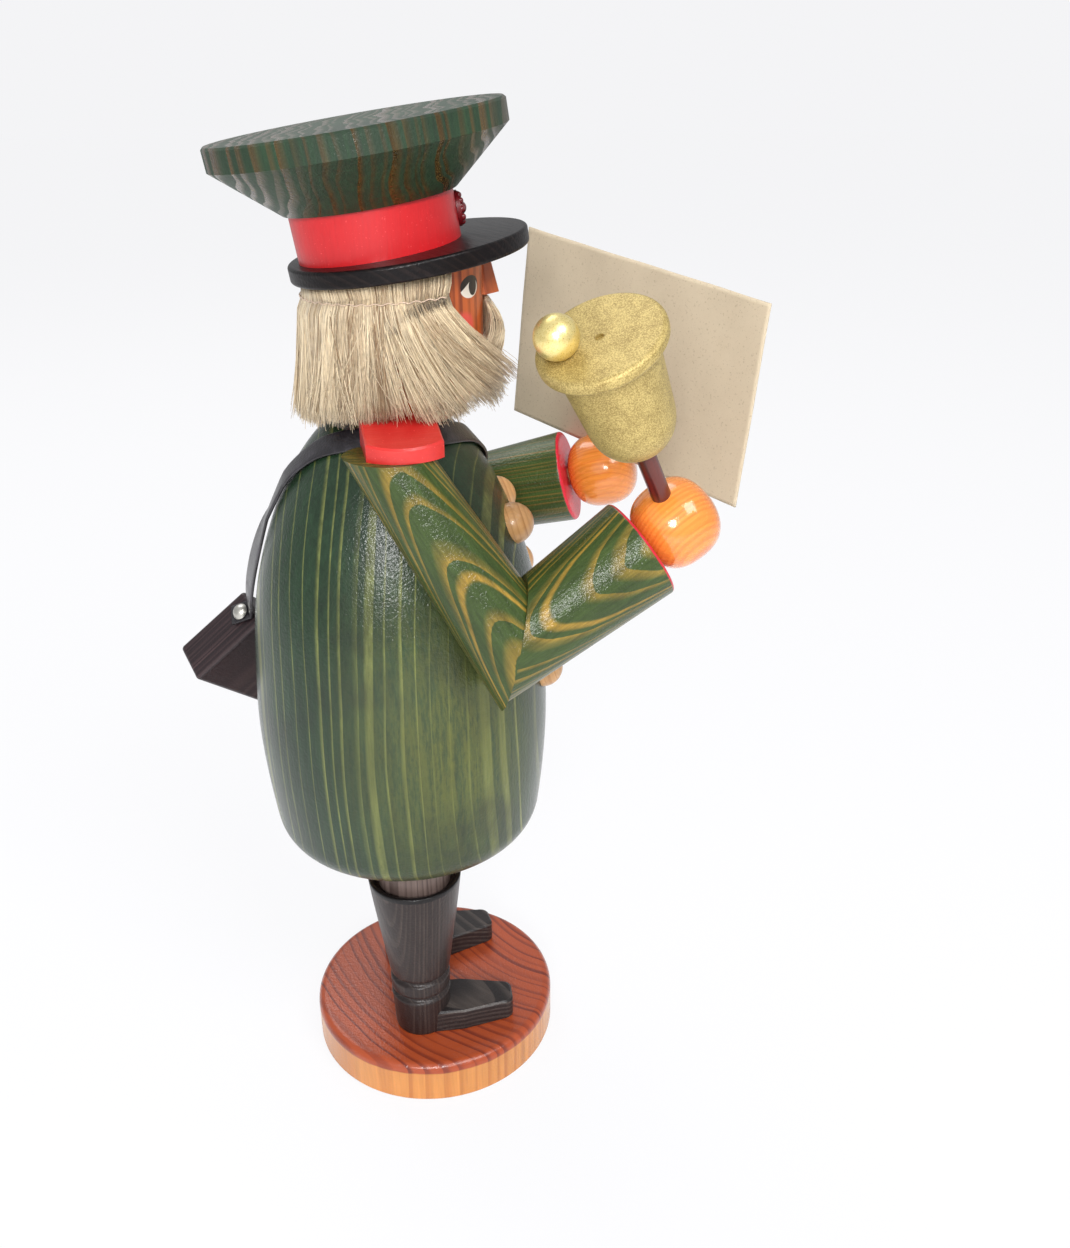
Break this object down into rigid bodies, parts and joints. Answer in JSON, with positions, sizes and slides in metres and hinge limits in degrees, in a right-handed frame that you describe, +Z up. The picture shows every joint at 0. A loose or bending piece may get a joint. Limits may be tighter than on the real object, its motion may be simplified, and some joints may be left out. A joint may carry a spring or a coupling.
{
  "type": "incense smoker",
  "caption": "Turned wooden incense smoker: a town crier whose hollow coat lifts off its legs, with a hand bell, an open sheet, a wide cap, a bristle beard and a shoulder bag.",
  "frame": {"origin": "middle of the base plate's underside", "axes": "+Z up, the figure faces -Y, its own right arm with the bell is on the -X side and its left arm with the sheet on the +X side"},
  "size_m": [0.1181, 0.1431, 0.2498],
  "materials": {
    "base_pine": "clear satin lacquer over stained pine",
    "trouser_grey": "satin stain",
    "boot_black": "satin stain",
    "plain_wood": "bare",
    "tin": "satin",
    "coat_green": "gloss lacquer over stain",
    "button_brown": "satin lacquer",
    "sleeve_green": "gloss lacquer over stain",
    "hand_orange": "gloss lacquer",
    "trim_red": "satin paint",
    "bell_gold": "matt metallic paint",
    "handle_brown": "satin stain",
    "sheet_paper": "matt, speckled",
    "face_brown": "satin stain",
    "visor_black": "gloss lacquer",
    "cockade_red": "satin paint",
    "bristle_straw": "natural bristle",
    "strap_leather": "smooth, half gloss",
    "bag_brown": "satin stain"
  },
  "bodies": {
    "stand": {"base_plate": "base_pine", "right_leg": "trouser_grey", "left_leg": "trouser_grey", "right_boot": "boot_black", "left_boot": "boot_black", "right_shoe": "boot_black", "left_shoe": "boot_black", "leg_disc": "plain_wood", "incense_plate": "tin", "plate_nail": "tin"},
    "coat": {"coat": "coat_green", "coat_buttons": "button_brown", "right_upper_arm": "sleeve_green", "left_upper_arm": "sleeve_green", "right_forearm": "sleeve_green", "left_forearm": "sleeve_green", "shoulder_dowels": "plain_wood", "wrist_dowels": "plain_wood", "right_hand": "hand_orange", "left_hand": "hand_orange", "right_epaulette": "trim_red", "left_epaulette": "trim_red", "bell": "bell_gold", "bell_handle": "handle_brown", "clapper_ball": "bell_gold", "paper_sheet": "sheet_paper", "neck_tube": "plain_wood", "head": "face_brown", "nose": "face_brown", "cap_dowel": "plain_wood", "cap_visor": "visor_black", "cap_band": "trim_red", "cap_crown": "coat_green", "cockade": "cockade_red", "hair_fringe": "bristle_straw", "moustache": "bristle_straw", "strap": "strap_leather"},
    "bag": {"bag": "bag_brown", "strap_tacks": "tin"}
  },
  "joints": [
    {"name": "coat_lift", "type": "slide", "parent": "stand", "child": "coat", "axis": [0, 0, 1], "range_m": [0, 0.06]},
    {"name": "bag_swing", "type": "hinge", "parent": "coat", "child": "bag", "pos_m": [0.02357, 0.04286, 0.12524], "axis": [0.551, -0.5555, -0.6228], "range_deg": [-8, 35]}
  ]
}
